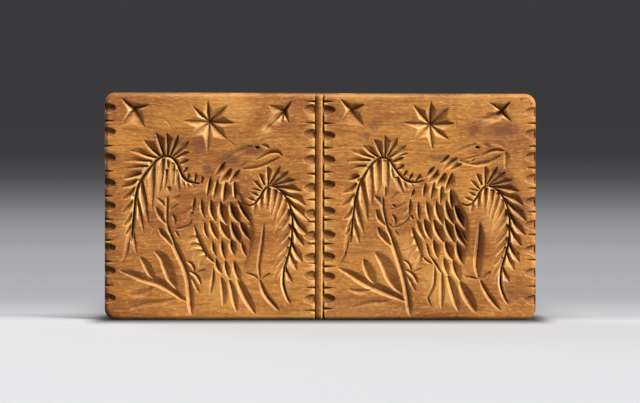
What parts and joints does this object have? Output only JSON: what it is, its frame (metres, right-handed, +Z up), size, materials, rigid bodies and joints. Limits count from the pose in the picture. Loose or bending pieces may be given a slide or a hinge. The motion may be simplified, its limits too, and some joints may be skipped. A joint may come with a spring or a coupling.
{
  "type": "cookie mould",
  "caption": "Flat wooden cookie mould with rounded edges and side-by-side panels, each carved with an eagle, a branch and stars, into which dough is pressed.",
  "frame": {"origin": "middle of the board's footprint on the surface that it stands on, below the middle of its length and thickness", "axes": "+X along the length, to the right of someone who looks at the carving; +Y from the carved face to the plain back; +Z up"},
  "size_m": [0.216, 0.022, 0.114],
  "materials": {
    "carved_wood": "old honey-brown hardwood, oiled and worn to a satin sheen, dark in the cuts"
  },
  "bodies": {
    "root": {"mould_board": "carved_wood"}
  },
  "joints": []
}
